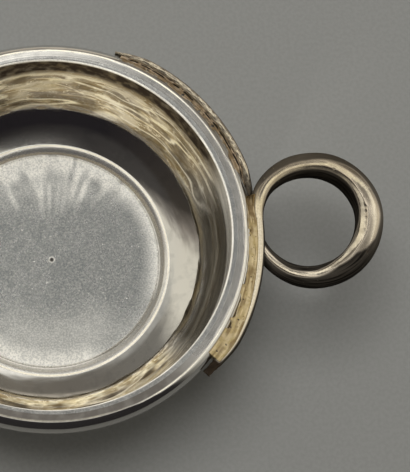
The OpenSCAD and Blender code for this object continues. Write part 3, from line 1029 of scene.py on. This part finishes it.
def silver(name, clean, cloudy, frosting, film, film_dulls, stain, stain_dulls, polish, matt, grit,
           crinkled, streaks):
    """Old silver: satin or frosty where left matt, filmed with tarnish, with stains, dirt and painted
    shade, painted highlights and glints, and painted shade in its creases.

    film_dulls and the dulls for stains and shade are how far film, stains and painted shade hide the metal,
    polish and matt the roughness of clean and satin metal, grit how grainy satin is and how many painted
    glints it has, crinkled how much painted shade and highlight its creases and ridges get, and streaks
    how streaks are drawn out along the grain.
    """
    tree, shader, spot = new_material(name)
    grain = Value(node(tree, "Attribute", {}, attribute_name="grain"), "Vector")
    satin, frost, film_mark, stain_mark, grime, dull = marks_of(
        tree, "satin", "frost", "film", "stain", "grime", "dull"
    )
    cloud = spot.texture(7, 4)
    patch = spot.texture(2.2, 3)
    sparkle = spot.texture(0.6, 1)
    speckle = spot.texture(0.45, 3)
    fine = spot.texture(0.34, 2)
    streak = grain.stretched(streaks).texture(1.0, 2, 1.0)
    crinkle = grain.stretched(CRINKLE_STRETCH).texture(1.0, 3, 1.0)

    clouded = satin * speckle.fade(0.35, 0.65, 0.75, 1.0) * fine.fade(0.48, 0.64, 1.0, 1.0 - 0.75 * grit)
    clouded = clouded * patch.fade(0.35, 0.65, 0.85, 1.0)
    worn = patch.fade(0.48, 0.7, 0.0, 0.16).blend(clean, cloudy)
    filmed = film_mark * cloud.fade(0.3, 0.62, 0.75, 1.0)
    film_colour = streak.fade(0.42, 0.62).blend(film, tinted(film, THICK_FILM))
    stained = stain_mark * streak.fade(0.35, 0.65, 1.0, 0.94)
    thickly = filmed.fade(0.5, 0.8)
    # Painted shade in the thick film's creases and painted highlight on its ridges.
    crease_shade = thickly * crinkle.fade(0.5, 0.62, 0.0, 0.4 * crinkled)
    ridge_highlight = thickly * crinkle.away_from(0.44).fade(0.008, 0.035, 0.75 * crinkled, 0.0)
    # Pale frosty skin and painted highlights, and painted glints on satin from sparkle.
    frosted = frost * speckle.fade(0.35, 0.65, 0.8, 1.0) * (1 - satin * fine.fade(0.55, 0.4, 0.0, 0.4))
    frosted = (frosted * (1 - crease_shade)).larger(ridge_highlight)
    frosted = frosted.larger(satin * sparkle.fade(0.7, 0.82, 0.0, 1.3 * grit))
    frost_colour = filmed.blend(frosting, tinted(frosting, GILT_HIGHLIGHT_TINT))
    # Dirt and painted shade, with painted shade in the film's creases.
    dirt_and_shade = (grime * patch.fade(0.3, 0.6, 0.8, 1.0)).larger(crease_shade * 0.6)
    base = worn
    for share, tone in ((clouded, cloudy), (filmed, film_colour), (stained, stain),
                        (frosted, frost_colour), (dirt_and_shade, DIRT_AND_SHADE)):
        base = share.blend(base, tone)

    rough = patch.fade(0.3, 0.7, polish - 0.03, polish + 0.03) + streak.fade(0.5, 0.75, 0.0, 0.05)
    for share, more in ((satin, matt - polish), (filmed, 0.09), (stained, 0.55 * stain_dulls),
                        (dull, 0.24), (frosted, 0.12), (dirt_and_shade, 0.3)):
        rough = rough + share * more
    matted = frosted * (1 - satin * HAZE)
    metal = (1 - filmed * film_dulls).less(stained * stain_dulls).less(matted).less(dirt_and_shade * 0.7)
    height = satin * speckle * grit + streak * 0.25 + filmed * (streak * 0.5)
    feed(shader, {
        "Base Color": base, "Roughness": rough, "Metallic": metal, "Normal": height.bump(0.3, 0.05),
        "IOR": 1.25, "Specular IOR Level": 0.06,
    })


PALEST_SOLDER = 1.25
PIT_DARK = (0.012, 0.009, 0.006)


def solder(name, dark, middle, pale, brown, rough, spots_from):
    """Solder: a dull alloy with a grainy, pitted skin, browner where it was overheated.

    rough holds its lowest and highest roughness, and spots_from the noise where dark spots begin and end.
    """
    tree, shader, spot = new_material(name)
    level, pit, edge, burnt, streak = marks_of(tree, "level", "pit", "edge", "burnt", "streak")
    patch = spot.texture(1.3, 3)
    speckle = spot.texture(0.3, 2)
    spots = spot.texture(0.55, 3)
    base = patch.fade(0.35, 0.65).blend(middle, pale)
    for share, tone in (
        (burnt * patch.fade(0.3, 0.6, 1.0, 0.7), brown),
        (streak.fade(0.05, 0.7, 0.0, 0.75), brown),
        (streak.fade(-0.15, -0.7, 0.0, 0.6), tinted(pale, PALEST_SOLDER)),
        (spots.fade(*spots_from) * level.fade(-0.35, 0.45, 1.0, 0.0), dark),
        (edge.fade(0.84, 1.0) * 0.85, dark),
        (pit.fade(0.25, 0.6), PIT_DARK),
    ):
        base = share.blend(base, tone)
    height = speckle + patch.math("MULTIPLY", patch, 1.5)
    feed(shader, {
        "Base Color": base, "Roughness": speckle.fade(0.3, 0.7, *rough),
        "Metallic": pit.fade(0.2, 0.6, 0.75, 0.0), "Normal": height.bump(0.5, 0.08),
    })


# Stage, light and camera

FLOOR_TONES = ((0.197, 0.2, 0.194), (0.215, 0.218, 0.212))
# The studio round the object: degrees from the ring's side towards the tail's, a colour high and one low
STUDIO = [
    (-180, (0.065, 0.06, 0.056), (0.05, 0.043, 0.036)),
    (-120, (0.04, 0.037, 0.036), (0.018, 0.016, 0.018)),
    (-44, (0.02, 0.018, 0.018), (0.016, 0.014, 0.016)),
    (-24, (0.78, 0.75, 0.67), (0.8, 0.77, 0.68)),
    (10, (0.8, 0.77, 0.68), (0.84, 0.8, 0.7)),
    (40, (0.21, 0.19, 0.16), (0.21, 0.19, 0.16)),
    (68, (0.38, 0.35, 0.31), (0.2, 0.18, 0.15)),
    (90, (0.44, 0.43, 0.4), (0.16, 0.145, 0.125)),
    (122, (0.44, 0.43, 0.4), (0.2, 0.19, 0.17)),
    (136, (0.74, 0.71, 0.62), (0.78, 0.74, 0.64)),
    (158, (0.74, 0.7, 0.61), (0.74, 0.7, 0.6)),
    (168, (0.2, 0.18, 0.16), (0.25, 0.22, 0.19)),
    (180, (0.065, 0.06, 0.056), (0.05, 0.043, 0.036)),
]
STUDIO_HIGH = (28, 44)
# Panels of the studio, each over the one before: the way to its middle, its inner and outer angle and its
# colour. They are the far horizon, a far panel, one overhead and that one's dim middle.
PANELS = [
    ((0.1, 1.0, 0.06), 12, 24, (0.55, 0.5, 0.42)),
    ((0.25, 0.53, 0.81), 6, 11, (1.05, 1.02, 0.95)),
    ((0.12, 0.23, 0.966), 13, 16, (1.5, 1.47, 1.38)),
    ((0.12, 0.25, 0.961), 7, 11, (0.24, 0.24, 0.235)),
]


def make_floor():
    bpy.ops.mesh.primitive_plane_add(size=6)
    floor = bpy.context.object
    floor.name = "floor"
    _, shader, spot = new_material("floor_paper")
    tooth = spot.texture(0.8, 2).fade(0.3, 0.7)
    feed(shader, {"Base Color": tooth.blend(*FLOOR_TONES), "Roughness": 0.8})
    floor.data.materials.append(MATERIALS["floor_paper"])


def sky_lobe(direction, axis, inner_deg, outer_deg):
    """1 inside a cone about an axis, fading to 0 at its outer angle."""
    inputs = {0: direction, 1: Vector(axis).normalized()}
    dot = Value(node(direction.tree, "VectorMath", inputs, operation="DOT_PRODUCT"), "Value")
    return dot.fade(math.cos(math.radians(outer_deg)), math.cos(math.radians(inner_deg)))


def studio_ramp(round_about, which):
    ramp = node(round_about.tree, "ValToRGB", {0: round_about})
    stops = ramp.color_ramp.elements
    for entry in STUDIO[1:-1]:
        stops.new(entry[0] / 360 + 0.5)
    for stop, entry in zip(stops, STUDIO):
        stop.position = entry[0] / 360 + 0.5
        stop.color = opaque(entry[which])
    return Value(ramp)


def make_sky():
    world = bpy.data.worlds.new("studio")
    bpy.context.scene.world = world
    world.use_nodes = True
    tree = world.node_tree
    direction = Value(node(tree, "TexCoord", {}), "Generated")
    round_about = Value(node(tree, "TexGradient", {0: direction}, gradient_type="RADIAL"), "Fac")
    high = sky_lobe(direction, (0, 0, 1), *STUDIO_HIGH)
    sky = high.blend(studio_ramp(round_about, 2), studio_ramp(round_about, 1))
    for axis, inner_deg, outer_deg, tone in PANELS:
        sky = sky_lobe(direction, axis, inner_deg, outer_deg).blend(sky, tone)
    feed(tree.nodes["Background"], {"Color": sky, "Strength": 1.0})


def hang_lamp(name, kind, place_at, aim, power, tint, **settings):
    """A lamp that lights the object but isn't mirrored in it."""
    data = bpy.data.lights.new(name, kind)
    data.energy = power
    data.color = tint
    for key, value in settings.items():
        setattr(data, key, value)
    lamp = bpy.data.objects.new(name, data)
    bpy.context.scene.collection.objects.link(lamp)
    lamp.location = place_at
    lamp.rotation_euler = (Vector(aim) - Vector(place_at)).to_track_quat("-Z", "Y").to_euler()
    lamp.visible_glossy = False


def make_camera():
    """The photograph's view: a turn about Z, a tilt about X and a pan about Y, aimed at the rim's plane."""
    turn, tilt, pan = (math.radians(x) for x in (-3.15, 16.22, -7.46))
    aim = Vector((0.03064, -0.00313, BOWL_H * MM))
    distance = 0.3
    frame_rows, pixels_focal = 472, 1476.7
    data = bpy.data.cameras.new("camera")
    data.lens = pixels_focal / frame_rows * data.sensor_width
    data.clip_start = 0.01
    camera = bpy.data.objects.new("camera", data)
    bpy.context.scene.collection.objects.link(camera)
    spin = Matrix.Rotation(turn, 4, "Z") @ Matrix.Rotation(tilt, 4, "X") @ Matrix.Rotation(pan, 4, "Y")
    back = (spin @ Vector((0, 0, 1))).to_3d()
    camera.matrix_world = Matrix.Translation(aim + back * distance) @ spin
    bpy.context.scene.camera = camera


make_camera()
make_floor()
make_sky()
hang_lamp(
    "key_lamp", "AREA", (-0.05, 0.3, 0.9), aim=(0.02, 0.0, 0.0), power=8.0, tint=(1.0, 0.99, 0.97),
    shape="DISK", size=0.8,
)
hang_lamp(
    "wall_lamp", "SPOT", (-0.28, -0.58, 0.185), aim=(0.014, 0.029, 0.016), power=13.5,
    tint=(1.0, 0.96, 0.88), spot_size=math.radians(7.5), spot_blend=0.8, shadow_soft_size=0.03,
)
bpy.context.scene.view_settings.view_transform = "Standard"

silver(
    "bowl_silver", clean=(0.78, 0.77, 0.74), cloudy=(0.275, 0.29, 0.296), frosting=(0.93, 0.915, 0.86),
    film=(0.58, 0.44, 0.22), film_dulls=0.6, stain=(0.15, 0.13, 0.098), stain_dulls=0.2,
    polish=0.08, matt=0.28, grit=0.6, crinkled=1.0, streaks=(1 / 14, 1 / 14, 1 / 0.4),
)
silver(
    "rim_silver", clean=(0.8, 0.79, 0.76), cloudy=(0.52, 0.51, 0.5), frosting=(0.93, 0.915, 0.86),
    film=(0.58, 0.5, 0.38), film_dulls=0.1, stain=(0.42, 0.405, 0.38), stain_dulls=0.02,
    polish=0.08, matt=0.28, grit=0.15, crinkled=0.0, streaks=(1 / 18, 1 / 18, 1 / 0.3),
)
silver(
    "handle_silver", clean=(0.68, 0.605, 0.5), cloudy=(0.34, 0.3, 0.25), frosting=(0.93, 0.86, 0.71),
    film=(0.36, 0.3, 0.22), film_dulls=0.05, stain=(0.006, 0.005, 0.004), stain_dulls=1.0,
    polish=0.07, matt=0.3, grit=1.0, crinkled=0.0, streaks=(1 / 12, 1 / 0.4, 1 / 0.4),
)
solder(
    "solder_yellow", dark=(0.22, 0.14, 0.05), middle=(0.56, 0.44, 0.22), pale=(0.7, 0.58, 0.36),
    brown=(0.26, 0.18, 0.09), rough=(0.36, 0.54), spots_from=(0.55, 0.75),
)
solder(
    "solder_brown", dark=(0.04, 0.026, 0.016), middle=(0.4, 0.29, 0.18), pale=(0.66, 0.54, 0.4),
    brown=(0.2, 0.14, 0.07), rough=(0.36, 0.6), spots_from=(0.52, 0.72),
)

make_bowl()
make_rim()
make_bar()
make_blunt_solder()
make_tail_solder()
make_crossing_solder()
make_rim_solder()
